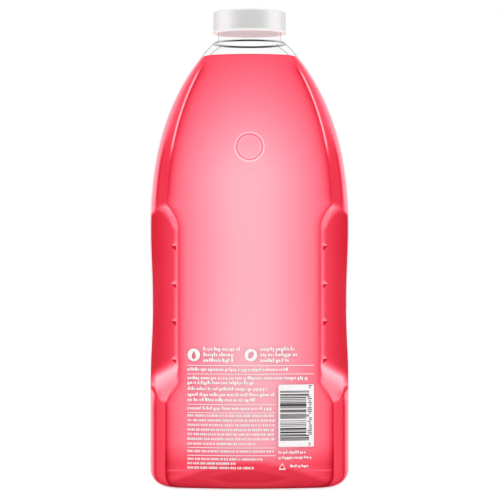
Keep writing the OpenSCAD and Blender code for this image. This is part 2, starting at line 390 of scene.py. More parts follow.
def bodyHeights(step, nubOffsets):
    # close rows where the grips start and end and at each nub, and wider ones between
    grip = gripShape
    nubs = nubHeights()
    first, last = nubOffsets[0], nubOffsets[-1]
    heel = bottleShape["heelRadius"]
    heights = [heel + 1, heel + 1.7, heel + 2.4, heel + 3.1] + spread(heel + 6, grip["bottom"] - 3, 6)
    heights += spread(grip["bottom"], nubs[0] + first - step / 2, step)
    for i, nub in enumerate(nubs):
        heights += [nub + offset for offset in nubOffsets]
        if i + 1 < len(nubs):
            heights += spread(nub + last, nubs[i + 1] + first, 2 * step)[1:-1]
    heights += spread(nubs[-1] + last + step / 2, grip["top"] + 2, step)
    heights += spread(grip["top"] + 6, bottleShape["neckFootZ"] - 6, 5)
    return heights


nubRows = [-3.6, -2.9, -1.6, -0.4, 0.4, 1.6, 2.9, 3.6]


def outsideRows(heights, inset=0.0):
    return [("body", z, inset) for z in heights]


def insideRows(heights):
    return [("body", z, wallAt(z)) for z in heights]


def neckRows():
    # up the outside, over the lip and down the bore, by radius and height
    shape = bottleShape
    neck, bore, foot, lip = shape["neckRadius"], shape["boreRadius"], shape["neckFootZ"], shape["lipZ"]
    ledge = neck + shape["ledge"]
    turned = [(ledge - 0.12, foot), (ledge - 0.4, foot), (neck + 1, foot + 0.03), (neck + 0.3, foot + 0.3)]
    turned += [(neck, foot + 1)] + [(neck, z) for z in spread(foot + 2.2, lip - 1.2, 0.8)]
    turned += [(neck, lip - 0.5), (neck - 0.15, lip - 0.12), (neck - 0.5, lip)]
    turned += [(bore + 0.4, lip), (bore + 0.08, lip - 0.1), (bore, lip - 0.5)]
    turned += [(bore, z) for z in spread(lip - 3, foot - 0.5, 4)]
    turned += [(bore + 0.1, foot - 1.5), (bore + 0.35, foot - 2.6)]
    rows = outsideRows([foot - 3, foot - 1.5, foot - 1.3, foot - 0.3, foot - 0.12])
    return rows + [("turned", radius, z) for radius, z in turned]


def makeRound(name, rows):
    # one sheet shaped row by row into a quarter of the form, then mirrored to the other side and the back
    restart()
    bpy.ops.mesh.primitive_grid_add(x_subdivisions=columnCount - 1, y_subdivisions=len(rows) - 1, size=1)
    obj = named(name)
    for point in obj.data.vertices:
        column = round((point.co.x + 0.5) * (columnCount - 1))
        row = round((point.co.y + 0.5) * (len(rows) - 1))
        x, y, z = rowPoint(rows[row], column)
        point.co = (x * mm, -y * mm, z * mm)
    mirror = obj.modifiers.new("otherSides", "MIRROR")
    mirror.use_axis = (True, True, False)
    mirror.merge_threshold = 0.002 * mm
    applyModifiers(obj)
    setMode("EDIT")
    bpy.ops.mesh.select_mode(type="VERT")
    selectMesh("SELECT")
    bpy.ops.mesh.remove_doubles(threshold=0.002 * mm)
    bpy.ops.mesh.dissolve_degenerate(threshold=0.001 * mm)
    selectMesh("SELECT")
    bpy.ops.mesh.normals_make_consistent(inside=False)
    setMode("OBJECT")
    soften = obj.modifiers.new("soften", "SUBSURF")
    soften.levels = 1
    soften.render_levels = 1
    return applyModifiers(obj)


# The raised ring on the front and the neck's thread are pressed into the wall once it is fine enough
ringShape = {"z": 213.0, "radius": 7.2, "width": 1.3, "height": 0.5, "crown": 1.6, "reach": 9.5, "cuts": 5}
threadShape = {"pitch": 4.23, "turns": 1.4, "runOut": 0.12, "start": 288.2, "depth": 1.2}
threadShape.update({"width": 2.3, "crown": 1.5})


def pressRing(obj):
    shape = ringShape
    front = -halfDepth(shape["z"]) / 2

    def near(middle, normal):
        return middle.y < front and math.hypot(middle.x, middle.z - shape["z"]) < shape["reach"]

    editFaces(obj, near)
    bpy.ops.mesh.subdivide(number_cuts=shape["cuts"], smoothness=1, quadcorner="INNERVERT")
    setMode("OBJECT")
    for point in obj.data.vertices:
        x, y, z = point.co / mm
        if y < front:
            away = math.hypot(x, z - shape["z"]) - shape["radius"]
            point.co.y -= shape["height"] * smooth(shape["crown"] * (1 - abs(away) / shape["width"])) * mm
    return obj


def threadHeight(angle, z, shape):
    # how far the thread stands out: its ridge climbs one pitch a turn and fades at both ends
    best = 0.0
    for turn in range(int(shape["turns"]) + 2):
        along = turn + angle / (2 * math.pi)
        if along > shape["turns"]:
            continue
        middle = shape["start"] + along * shape["pitch"]
        ends = smooth(along / shape["runOut"]) * smooth((shape["turns"] - along) / shape["runOut"])
        ridge = smooth(shape["crown"] * (1 - abs(z - middle) / (shape["width"] / 2)))
        best = max(best, ends * ridge)
    return best * shape["depth"]


def cutThread(obj, shape, radius, outward):
    # moves what lies on the turned wall of that radius
    for point in obj.data.vertices:
        x, y, z = point.co / mm
        away = math.hypot(x, y)
        if abs(away - radius) < 0.3 and z > shape["start"] - shape["width"]:
            height = threadHeight(math.atan2(y, x) % (2 * math.pi), z, shape) * outward
            point.co.x *= (away + height) / away
            point.co.y *= (away + height) / away
    return obj


def makeBottle():
    shape = bottleShape
    rows = baseRows(0) + outsideRows(bodyHeights(2.6, nubRows)) + neckRows()
    rows += insideRows(reversed(bodyHeights(4, [-3, 0, 3]))) + list(reversed(baseRows(shape["wall"])))
    bottle = makeRound("bottleShell", rows)
    pressRing(bottle)
    cutThread(bottle, threadShape, shape["neckRadius"], 1)
    return finishSmooth(bottle, 50)


# The cleaner fills the inside up to a level surface that creeps a little up the wall. Below the neck the
# thick wall bends the light so that the cleaner seems to reach nearly to the outside, and so it does here
cleanerShape = {"gap": 0.05, "top": cleanerHigh.z, "creep": 0.9}


def makeCleaner():
    shape = cleanerShape
    top = shape["top"]
    heights = [z for z in bodyHeights(2.6, nubRows) if z < top - 3]
    rows = baseRows(bottleShape["wall"] + shape["gap"])
    rows += outsideRows(heights + [top - 1.5, top - 0.7, top - 0.1], bottleShape["wall"] + shape["gap"])
    level = top - shape["creep"]
    rows += [("surface", share, height) for share, height in [(0.985, top - 0.5), (0.96, level)]]
    rows += [("surface", share, level) for share in [0.9, 0.75, 0.5, 0.25, 0]]
    return finishSmooth(makeRound("cleanerFill", rows), 50)


# The cap is a turned cup with a bead round its foot, a thread inside and a soft upper edge
capShape = {
    "radius": capHigh.x - 0.25,
    "bead": 0.25,
    "beadHeight": 1.5,
    "top": 1.6,
    "wall": 1.6,
    "round": 1.0,
    "sides": 128,
    "threadDepth": 0.9,
}


def makeCap():
    shape = capShape
    low, high = capLow.z, capHigh.z
    outer = shape["radius"]
    inner = outer + shape["bead"] - shape["wall"]
    cap = turnedBlank("screwCap", shape["sides"], outer, low, high)

    # the top: a soft edge, then rings in to the faint mark left by the mould's gate
    editEnd(cap, 1, high)
    bpy.ops.mesh.bevel(offset=shape["round"] * mm, segments=5, affect="EDGES")
    editEnd(cap, 1, high)
    insets((3, 0), (8, 0), (7, 0), (0.8, -0.12), (1.6, 0), (0.15, 0.1))

    # the inside: the skirt's foot is inset and the middle pushed up to the underside of the top
    editEnd(cap, -1, low)
    insets((0.35, 0), (outer - inner - 0.35, 0))
    bpy.ops.mesh.extrude_region_move(
        TRANSFORM_OT_translate={"value": (0, 0, (high - shape["top"] - low) * mm)}
    )
    insets((4, 0), (8, 0))

    # rings up the skirt carry the bead outside and the thread inside
    beadTop = low + shape["beadHeight"]
    sliceAcross([low + 0.25, low + 0.6, low + 1.1, beadTop - 0.15, beadTop + 0.05, beadTop + 0.3])
    sliceAcross(spread(beadTop + 0.8, high - shape["top"] - 0.5, 0.5))
    setMode("OBJECT")
    for point in cap.data.vertices:
        x, y, z = point.co / mm
        away = math.hypot(x, y)
        if away > outer - 0.01 and z < beadTop:
            share = ease(z, beadTop, beadTop - 0.2) * (1 - 0.8 * ease(z, low + 0.2, low))
            point.co.x *= (away + shape["bead"] * share) / away
            point.co.y *= (away + shape["bead"] * share) / away
    start = threadShape["start"] + threadShape["pitch"] / 2
    cutThread(cap, dict(threadShape, start=start, depth=shape["threadDepth"]), inner, -1)
    return finishSmooth(cap, 35)


# The liner is a foam disc with a ring pressed into it by the neck's lip
linerShape = {"sides": 96, "round": 0.25, "lipMark": 0.12, "lipWidth": 1.9}


def makeLiner():
    shape = linerShape
    liner = turnedBlank("foamLiner", shape["sides"], linerHigh.x, linerLow.z, linerHigh.z)

    def onFace(middle, normal):
        return abs(normal.z) > 0.9

    editFaces(liner, onFace)
    bpy.ops.mesh.bevel(offset=shape["round"] * mm, segments=3, affect="EDGES")
    editEnd(liner, -1, linerLow.z)
    edge = linerHigh.x - shape["round"] - bottleShape["neckRadius"] - 0.1
    insets((edge, 0), (0.2, -shape["lipMark"]), (shape["lipWidth"], 0), (0.2, shape["lipMark"]), (6, 0))
    return finishSmooth(liner, 35)


# The printed block: rows of small blocks in word lengths, rules, two round marks, a field for the bars
# and an open triangle beside the lines under it
printShape = {
    "top": 89.6,
    "left": whiteLow.x,
    "right": whiteHigh.x,
    "lift": 0.02,
    "thickness": 0.08,
    "lineHeight": 1.85,
    "smallShare": 0.78,
    "smallFrom": 40.0,
    "ruleHeight": 0.4,
    "points": 48,
    "markRadius": 3.9,
    "markPicture": (3.4, 5.2),
    "markDrop": 5.3,
    "markPitch": 35.2,
    "markGap": 2.0,
    "markLinePitch": 3.5,
    "markLineHeight": 2.035,
    "markLineWidths": [[23, 21, 19], [22, 23, 19]],
    "fieldWidth": 22.0,
    "fieldHeight": 38.5,
    "fieldDrop": 23.6,
    "fieldRound": 0.9,
    "shortRule": 54.3,
    "triangle": (2.4, 74.0),
    "triangleOuter": (4.8, 4.4),
    "triangleInner": (3.1, 2.9),
}
# how far each line lies below the top of the block, and its length
printLines = [(14.4, 62.5), (19.7, 75), (22.6, 42), (26.4, 50), (30, 54), (33.2, 42), (38.4, 53)]
printLines += [(drop, 54) for drop in [43, 45.9, 48.8, 51.7, 54.5, 57.4]]
printLines += [(60.4, 43), (65, 54), (69.8, 47), (72.5, 31), (75.2, 41.5)]
longRules = [11.8, 17.1]
shortRules = [35.9, 41, 62.6, 67.4]
# under the bar field: how far down each line lies, where it starts in from the field's side, and its length
noteLines = [(65.6, 0, 17), (68.8, 0, 21), (74.1, 7.4, 11.2)]
# what a line's blocks are drawn from: letters in a word, then shares of the letter's or the line's height
blockShape = {
    "words": [2, 3, 3, 4, 5, 6, 7, 8],
    "widths": [0.3, 0.62, 0.62, 0.74, 0.74, 0.98],
    "gaps": [0.22, 0.28, 0.34],
    "rises": [0, 0, 0, 0.42, -0.36],
    "capitalGaps": [0.36, 0.44, 0.5],
    "capitalRises": [0.26, 0.3, 0.3],
    "wordGap": 0.5,
    "foot": 0.36,
    "tall": 0.72,
}


def ontoPanel(obj, layer=0):
    # lays a flat piece, drawn in X and Z, on the bowed front panel and gives it the thickness of the ink
    shape, body = printShape, bottleShape
    lift = shape["lift"] + layer * (shape["thickness"] + 0.02)
    for point in obj.data.vertices:
        y = frontY(point.co.x / mm, body["halfWidth"], body["halfDepth"])
        point.co.y = -(y + lift) * mm
    ink = obj.modifiers.new("ink", "SOLIDIFY")
    ink.thickness = shape["thickness"] * mm
    ink.offset = 1
    return applyModifiers(obj)


def flatGrid(name, x0, x1, z0, z1, columns):
    # an upright sheet of one row that faces the camera
    restart()
    bpy.ops.mesh.primitive_grid_add(x_subdivisions=columns, y_subdivisions=1, size=1)
    sheet = named(name)
    for point in sheet.data.vertices:
        point.co = (mix(x0, x1, point.co.x + 0.5) * mm, 0, mix(z0, z1, point.co.y + 0.5) * mm)
    return sheet


def stripe(name, x0, x1, drop, height):
    middle = printShape["top"] - drop
    return flatGrid(name, x0, x1, middle - height / 2, middle + height / 2, max(1, round((x1 - x0) / 5)))


def roundedField(name, x0, x1, drop, height, corner):
    # a stripe whose ends are narrowed to round its corners
    ends = [0, 0.08, 0.3, 0.62, 1]
    columns = 2 * (len(ends) - 1) + 4
    field = flatGrid(name, 0, columns, 0, 1, columns)
    middle = printShape["top"] - drop
    for point in field.data.vertices:
        place = round(point.co.x / mm)
        near = min(place, columns - place)
        if near < len(ends):
            inset = corner * ends[near]
            half = height / 2 - corner + math.sqrt(corner**2 - (corner - inset) ** 2)
            x = x0 + inset if place == near else x1 - inset
        else:
            half = height / 2
            x = mix(x0 + corner, x1 - corner, (place - len(ends) + 1) / (columns - 2 * len(ends) + 2))
        point.co = (x * mm, 0, (middle + (half if point.co.z / mm > 0.5 else -half)) * mm)
    return field


def blockLine(name, x0, x1, drop, height, draw, capitals=False):
    # a line of print as upright blocks of a few widths, in word lengths
    shape = blockShape
    gapChoices = shape["capitalGaps" if capitals else "gaps"]
    riseChoices = shape["capitalRises" if capitals else "rises"]
    unit = height / 1.5
    edges = []
    rises = []
    x = x0
    while x < x1 - unit:
        for letter in range(draw.choice(shape["words"])):
            width = unit * draw.choice(shape["widths"])
            if x + width > x1:
                break
            edges += [x, x + width]
            rises.append(draw.choice(riseChoices))
            x += width + unit * draw.choice(gapChoices)
        x += unit * shape["wordGap"]
    columns = len(edges) - 1
    sheet = flatGrid(name, 0, columns, 0, 1, columns)

    # every second face of the sheet is a gap, and what is left becomes the blocks
    def isGap(middle, normal):
        return int(middle.x) % 2 == 1

    editFaces(sheet, isGap)
    bpy.ops.mesh.delete(type="FACE")
    setMode("OBJECT")
    foot = printShape["top"] - drop - height * shape["foot"]
    for point in sheet.data.vertices:
        place = round(point.co.x / mm)
        rise = rises[place // 2]
        if point.co.z / mm > 0.5:
            z = foot + height * (shape["tall"] + max(0, rise))
        else:
            z = foot + height * min(0, rise)
        point.co = (edges[place] * mm, 0, z * mm)
    return sheet


# Outlines as points round a form's middle, each from the share of a turn and the form's width and height
def roundAt(turn, width, tall):
    angle = 2 * math.pi * turn
    return width / 2 * math.sin(angle), tall / 2 * math.cos(angle)


def dropAt(turn, width, tall):
    # a drop that hangs from its tip
    across, along = roundAt(turn, width, tall)
    return across * math.sin(math.pi * turn) ** 1.3, along


def leafAt(turn, width, tall):
    # a leaf with two tips, leaning to one side
    across, along = roundAt(turn, width, tall)
    across *= abs(math.sin(2 * math.pi * turn)) ** 0.5
    return across * 0.8 + along * 0.5, along * 0.8 - across * 0.5


def triangleAt(turn, width, tall):
    # an upright triangle with softened corners, whose middle lies below half its height
    corners = [(0, 0.5), (0.5, -0.5), (-0.5, -0.5), (0, 0.5)]
    side, t = int(turn * 3), turn * 3 % 1
    (ax, az), (bx, bz) = corners[side], corners[side + 1]
    share = 1 - 0.15 * max(0, 1 - 6 * min(t, 1 - t))
    sink = 0.17
    return width * mix(ax, bx, t) * share, tall * ((mix(az, bz, t) + sink) * share - sink)


def outlineOf(formAt, width, tall, x, z):
    count = printShape["points"]
    points = [formAt(i / count, width, tall) for i in range(count)]
    return [(x + across, z + along) for across, along in points]


def openMark(name, outer, inner):
    # a flat shape between two rings of points, bridged
    restart()
    bpy.ops.mesh.primitive_circle_add(vertices=len(outer), radius=1, rotation=(math.radians(90), 0, 0))
    mark = settle(named(name))
    pick(mark)
    setMode("EDIT")
    selectMesh("SELECT")
    bpy.ops.mesh.duplicate()
    setMode("OBJECT")
    for point, (px, pz) in zip(mark.data.vertices, outer + inner):
        point.co = (px * mm, 0, pz * mm)
    setMode("EDIT")
    bpy.ops.mesh.select_mode(type="EDGE")
    selectMesh("SELECT")
    bpy.ops.mesh.bridge_edge_loops()
    setMode("OBJECT")
    return mark


def faceFront(obj):
    # a flat sheet's normals all turned to -Y, before it gets its thickness
    def facesBack(middle, normal):
        return normal.y > 0

    editFaces(obj, facesBack)
    bpy.ops.mesh.flip_normals()
    setMode("OBJECT")
    return obj


def makeWhitePrint():
    shape = printShape
    draw = random.Random(7)
    left, right = shape["left"], shape["right"]
    pieces = []
    radius = shape["markRadius"]
    smallHeight = shape["lineHeight"] * shape["smallShare"]
    for i, pictureAt in enumerate([dropAt, leafAt]):
        x, z = left + radius + i * shape["markPitch"], shape["top"] - shape["markDrop"]
        disc = outlineOf(roundAt, 2 * radius, 2 * radius, x, z)
        pieces.append(openMark("roundMark", disc, outlineOf(pictureAt, *shape["markPicture"], x, z)))
        start = x + radius + shape["markGap"]
        for j, width in enumerate(shape["markLineWidths"][i]):
            drop = shape["markDrop"] + (j - 1) * shape["markLinePitch"]
            pieces.append(blockLine("markLine", start, start + width, drop, shape["markLineHeight"], draw))
    for drop, length in printLines:
        small = drop > shape["smallFrom"]
        height = smallHeight if small else shape["lineHeight"]
        pieces.append(blockLine("printLine", left, left + length, drop, height, draw, small))
    for drop in longRules:
        pieces.append(stripe("longRule", left, right, drop, shape["ruleHeight"]))
    for drop in shortRules:
        pieces.append(stripe("shortRule", left, left + shape["shortRule"], drop, shape["ruleHeight"]))
    tall = shape["fieldHeight"]
    start = right - shape["fieldWidth"]
    middle = shape["fieldDrop"] + tall / 2
    pieces.append(roundedField("barField", start, right, middle, tall, shape["fieldRound"]))
    for drop, inset, length in noteLines:
        x = start + inset
        pieces.append(blockLine("noteLine", x, x + length, drop, smallHeight, draw))
    x, drop = shape["triangle"]
    place = (start + x, shape["top"] - drop)
    outer = outlineOf(triangleAt, *shape["triangleOuter"], *place)
    inner = outlineOf(triangleAt, *shape["triangleInner"], *place)
    pieces.append(openMark("plainTriangle", outer, inner))
    return ontoPanel(faceFront(joinAll(pieces, "whiteInk")))


# The dark bars over the white field count up from nought as a sample does, with longer bars at the ends and
# in the middle. Two thin strokes side by side stand for each digit, in steps from the first bar
barShape = {
    "step": 0.322,
    "fill": 1.2,
    "inset": 1.1,
    "length": 16.2,
    "longer": 1.7,
    "longCount": 7,
    "digitGap": 0.85,
    "digitReach": 2.6,
    "digitStroke": 0.5,
    "digitSides": [-0.55, 0.55],
    "digitStarts": [0, 0, 0.9],
    "digitEnds": [0, 0, 0.8],
    "digitGroups": [10, 50],
    "digitPitch": 7,
    "endDigits": [25.0, 60.6],
    "endDigitInset": 0.7,
}
# the widths in steps of each digit's bar, gap, bar and gap
digitSteps = [[3, 2, 1, 1], [2, 2, 2, 1], [2, 1, 2, 2], [1, 4, 1, 1], [1, 1, 3, 2]]
digitSteps += [[1, 2, 3, 1], [1, 1, 1, 4], [1, 3, 1, 2], [1, 2, 1, 3], [3, 1, 1, 2]]
outerGuard = [1, 1, 1]
middleGuard = [1, 1, 1, 1, 1]


def halfSteps(first):
    return [step for i in range(6) for step in digitSteps[(first + i) % len(digitSteps)]]


def makeBarPrint():
    shape, field = barShape, printShape
    barSteps = outerGuard + halfSteps(0) + middleGuard + halfSteps(6) + outerGuard
    middleFrom = len(outerGuard) + len(halfSteps(0))
    step = shape["step"]
    start = field["right"] - field["fieldWidth"] + shape["inset"]
    first = field["fieldDrop"] + (field["fieldHeight"] - sum(barSteps) * step) / 2
    pieces = []
    for i in range(0, len(barSteps), 2):
        isLong = min(i, len(barSteps) - 1 - i) < shape["longCount"] or 0 <= i - middleFrom < len(middleGuard)
        end = start + shape["length"] + (shape["longer"] if isLong else 0)
        drop = first + (sum(barSteps[:i]) + barSteps[i] / 2) * step
        pieces.append(stripe("bar", start, end, drop, (barSteps[i] - 1 + shape["fill"]) * step))
    digitX = start + shape["length"] + shape["digitGap"]
    draw = random.Random(11)
    places = [group + shape["digitPitch"] * (i + 0.5) for group in shape["digitGroups"] for i in range(5)]
    for drop in [first + place * step for place in places] + shape["endDigits"]:
        inset = shape["endDigitInset"] if drop in shape["endDigits"] else 0
        for side in shape["digitSides"]:
            x0 = digitX + max(inset, draw.choice(shape["digitStarts"]))
            x1 = digitX + shape["digitReach"] - draw.choice(shape["digitEnds"])
            pieces.append(stripe("digitStroke", x0, x1, drop + side, shape["digitStroke"]))
    return ontoPanel(faceFront(joinAll(pieces, "darkInk")), 1)


# Materials: each is a small set of nodes, made from the inside out
def startMaterial(name):
    material = bpy.data.materials.new(name)
    material.use_nodes = True
    material.node_tree.nodes.clear()
    return material, material.node_tree


def addNode(tree, kind, inputs=None, **settings):
    # inputs are plain values, or the sockets that feed them
    node = tree.nodes.new("ShaderNode" + kind)
    for key, value in settings.items():
        setattr(node, key, value)
    for key, value in (inputs or {}).items():
        if isinstance(value, bpy.types.NodeSocket):
            tree.links.new(value, node.inputs[key])
        else:
            node.inputs[key].default_value = value
    return node


def endMaterial(tree, shader):
    addNode(tree, "OutputMaterial", {"Surface": shader})


def solidMaterial(material, tree, inputs):
    endMaterial(tree, addNode(tree, "BsdfPrincipled", inputs).outputs[0])
    return material


def sumOf(tree, a, b, operation="ADD"):
    return addNode(tree, "Math", {0: a, 1: b}, operation=operation).outputs[0]


def inverse(tree, value):
    return sumOf(tree, 1.0, value, "SUBTRACT")


def blend(tree, share, first, second):
    return addNode(tree, "MixShader", {0: share, 1: first, 2: second}).outputs[0]


def objectPlace(tree):
    return addNode(tree, "TexCoord").outputs["Object"]


def facing(tree):
    # 0 where a face is seen square on, and 1 where it is seen edge on
    return addNode(tree, "LayerWeight", {"Blend": 0.5}).outputs["Facing"]


def noiseOn(tree, scale, detail=2.0, stretch=(1, 1, 1)):
    place = addNode(tree, "Mapping", {"Vector": objectPlace(tree), "Scale": stretch}).outputs[0]
    return addNode(tree, "TexNoise", {"Vector": place, "Scale": scale, "Detail": detail}).outputs["Fac"]


def drift(tree, value, reach):
    # a noise's 0 to 1 turned into a small change either way
    return addNode(tree, "MapRange", {"Value": value, "To Min": -reach, "To Max": reach}).outputs[0]


def bumpOf(tree, height, strength, distance):
    return addNode(tree, "Bump", {"Height": height, "Strength": strength, "Distance": distance}).outputs[0]


def ramp(tree, factor, stops):
    node = addNode(tree, "ValToRGB", {"Fac": factor})
    elements = node.color_ramp.elements
    while len(elements) < len(stops):
        elements.new(0.5)
    for element, (place, color) in zip(elements, stops):
        element.position = place
        element.color = (*color, 1)
    return node.outputs["Color"]


# The clear blown plastic: its tint goes from where it is seen square on to where it is seen edge on, as
# painted shade at its edges: a pale pink on the body, thin grey lines on the thick neck, and the darkest on
# the ring of plastic under its ledge
clearLook = {
    "body": [(0, (1, 1, 1)), (0.75, (1, 0.99, 0.99)), (1, (0.97, 0.75, 0.79))],
    "neck": [(0, (1, 1, 1)), (0.8, (0.98, 0.98, 0.98)), (0.93, (0.55, 0.55, 0.56)), (1, (0.4, 0.4, 0.41))],
    "ledge": [
        (0, (0.05, 0.04, 0.042)),
        (0.2, (0.06, 0.05, 0.052)),
        (0.42, (0.3, 0.29, 0.29)),
        (0.7, (0.6, 0.6, 0.6)),
    ],
    "ledgeFrom": 1.3,
    "ledgeTo": 0.3,
    "shine": 0.11,
    "neckShine": 0.033,
    "roughness": 0.035,
    "ior": 1.5,
    "wettedRoughness": 0.05,
    "wettedIor": 1.1,
    "ripple": 55.0,
}


def lookedAt(tree):
    # 1 for rays that see or mirror the bottle, and 0 for those that only light what is behind its wall
    rays = addNode(tree, "LightPath").outputs
    return inverse(tree, sumOf(tree, rays["Is Shadow Ray"], rays["Is Diffuse Ray"], "MAXIMUM"))


def outerShine(tree, ior, shine):
    # the share that a clear wall mirrors, on the side that the ray enters by
    fresnel = addNode(tree, "Fresnel", {"IOR": ior}).outputs[0]
    back = addNode(tree, "NewGeometry").outputs["Backfacing"]
    share = sumOf(tree, fresnel, inverse(tree, back), "MULTIPLY")
    return sumOf(tree, share, sumOf(tree, lookedAt(tree), shine, "MULTIPLY"), "MULTIPLY")


def clearPlastic(name, tints, shine):
    look = clearLook
    material, tree = startMaterial(name)
    passing = inverse(tree, lookedAt(tree))
    tint = ramp(tree, facing(tree), tints)
    tint = addNode(tree, "MixRGB", {"Fac": passing, "Color1": tint, "Color2": (1, 1, 1, 1)}).outputs[0]
    clear = addNode(tree, "BsdfTransparent", {"Color": tint}).outputs[0]
    bump = bumpOf(tree, noiseOn(tree, look["ripple"], 3.0, (1, 1, 0.35)), 0.05, 0.0006)
    gloss = addNode(tree, "BsdfGlossy", {"Roughness": look["roughness"], "Normal": bump}).outputs[0]
    endMaterial(tree, blend(tree, outerShine(tree, look["ior"], shine), clear, gloss))
    return material


def wettedInside():
    # the inner skin, where the cleaner lies against it, shows almost nothing of itself
    look = clearLook
    material, tree = startMaterial("wettedInside")
    clear = addNode(tree, "BsdfTransparent", {"Color": (1, 1, 1, 1)}).outputs[0]
    gloss = addNode(tree, "BsdfGlossy", {"Roughness": look["wettedRoughness"]}).outputs[0]
    endMaterial(tree, blend(tree, outerShine(tree, look["wettedIor"], look["shine"]), clear, gloss))
    return material


# The cleaner: its colour deepens with how much of it is looked through, and with painted light and
# shade, kept as a value at each point.
# Each of red, green and blue starts from its first value and fades at its own rate. Pairs of heights are
# where a change begins and where it is complete, and arcs are a middle height, a bend and half a width
cleanerLook = {
    "first": (2.03, 1.0, 1.0),
    "fade": (0.28, 1.0, 0.8),
    "deepest": 5.0,
    "stops": 15,
    "cloud": 0.012,
    "roughness": 0.3,
    "specular": 0.0,
    "middle": 0.8,
    "acrossGain": 1.95,
    "topFrom": 190.0,
    "topGain": 1.45,
    "topPower": 1.6,
    "surfaceGain": 0.5,
    "baseFrom": 31.0,
    "baseReach": 14.0,
    "baseGain": 1.0,
    "basePower": 1.5,
    "arch": (17.5, -4.0, 27.0),
    "archGain": 1.1,
    "lensTop": (13.2, -5.4, 25.0),
    "lensFoot": (4.5, 3.3, 25.0),
    "lensGain": 0.6,
    "highlightStreaks": [(12.2, 31, 53, 0.5), (7.3, 42, 51, 0.45)],
    "streakHighlightDepth": 1.7,
    "shadeBandDepth": (2.75, 3.3, 2.8),
    "bandMiddle": (60.0, 160.0),
    "bandHigh": (200.0, 235.0),
    "bandLower": (60.0, 50.0),
    "bandUpper": (205.0, 230.0),
    "rimLightDepth": 1.15,
    "lineLower": (58.0, 50.0),
    "lineUpper": (175.0, 185.0),
    "lineTop": (269.0, 259.0),
    "shadeLineDepth": (3.6, 1.9, 2.5),
    "shineRise": (203.0, 217.0),
    "shineTop": (267.0, 257.0),
    "paintedShineDepth": 0.45,
    "pocketFrom": 2.6,
    "pocketTo": 4.3,
    "stepHighlightDepth": 1.3,
    "stepWidth": 1.0,
    "crestStart": (46.3, 162.7),
    "crestSlope": 0.4,
    "crestHighlightDepth": 1.15,
    "shelfHighlightDepth": 1.6,
    "shelfRise": (160.0, 164.0),
    "glowStart": (46.0, 75.5),
    "glowSlope": 0.6,
    "glowDepth": 0.65,
    "glowAbove": 4.6,
    "glowBelow": 6.0,
    "scoopLightDepth": 1.5,
    "scoopHighlight": 1.0,
    "scoopShade": 3.6,
    "nubHighlight": 1.2,
    "nubShade": 4.6,
    "ringBands": [(9.0, 0.7, -0.6), (7.85, 0.75, 0.7), (6.9, 0.6, -0.3)],
}


def arc(x, middle, bend, half):
    return middle + bend * (x / half) ** 2


def outlineAt(z):
    # half the width of the outline that the camera sees, with the heel's round
    heel = bottleShape["heelRadius"]
    low = clamp((heel - z) / heel)
    return halfWidth(z) - heel * (1 - math.sqrt(1 - low * low))


def panelDepthAndPaintedLight(x, z):
    # the front panel: paler in the middle as painted light, and deeper to the sides, the top and the base,
    # partly with how much is looked through and partly as painted shade
    look, top = cleanerLook, cleanerHigh.z
    value = arc(x, look["middle"], look["acrossGain"], bottleShape["halfWidth"])
    value += look["topGain"] * clamp((z - look["topFrom"]) / (top - look["topFrom"])) ** look["topPower"]
    value += look["surfaceGain"] * ease(z, top - 1, top - 0.5)
    value += look["baseGain"] * clamp((look["baseFrom"] - z) / look["baseReach"]) ** look["basePower"]
    # painted shade: a darker arch and lens where the pushed-up base shows through
    archZ = arc(x, *look["arch"])
    value += look["archGain"] * ease(z, archZ + 0.6, archZ - 1) * clamp(1.6 - x / 45)
    lensTop, lensFoot = arc(x, *look["lensTop"]), arc(x, *look["lensFoot"])
    value += look["lensGain"] * ease(z, lensTop, lensTop - 0.8) * ease(z, lensFoot, lensFoot + 0.8)

    # painted highlights: short pale streaks that slant down to the outer end
    for height, start, end, width in look["highlightStreaks"]:
        share = 0.75 * ease(x, start, start + 6) * ease(x, end, end - 1.5)
        slant = height + 0.05 * (end - x)
        value = mix(value, look["streakHighlightDepth"], share * bell((z - slant) / width))
    return value


def sideDepthAndPaintedLight(t, z):
    # past the crease, 0, to the outline, 1: painted shade over the bevel, then a pale strip of painted light
    look = cleanerLook
    low, middle, high = look["shadeBandDepth"]
    band = mix(mix(low, middle, ease(z, *look["bandMiddle"])), high, ease(z, *look["bandHigh"]))
    upper, lower = ease(z, *look["bandUpper"]), ease(z, *look["bandLower"])
    band += 0.7 * t * lower

    # where the strip starts to take over and where it has, a painted dark line between, and the outline's
    # painted pale edge
    first, last = mix(0.55, 0.15, upper) + 0.05 * lower, mix(0.75, 0.82, upper) + 0.09 * lower
    value = mix(band, look["rimLightDepth"], ease(t, first, last))
    value += (0.7 + 0.5 * lower) * bell((t - 0.54 - 0.05 * lower) / 0.05) * (1 - upper)
    return value - 0.6 * clamp((t - 0.85) / 0.15)


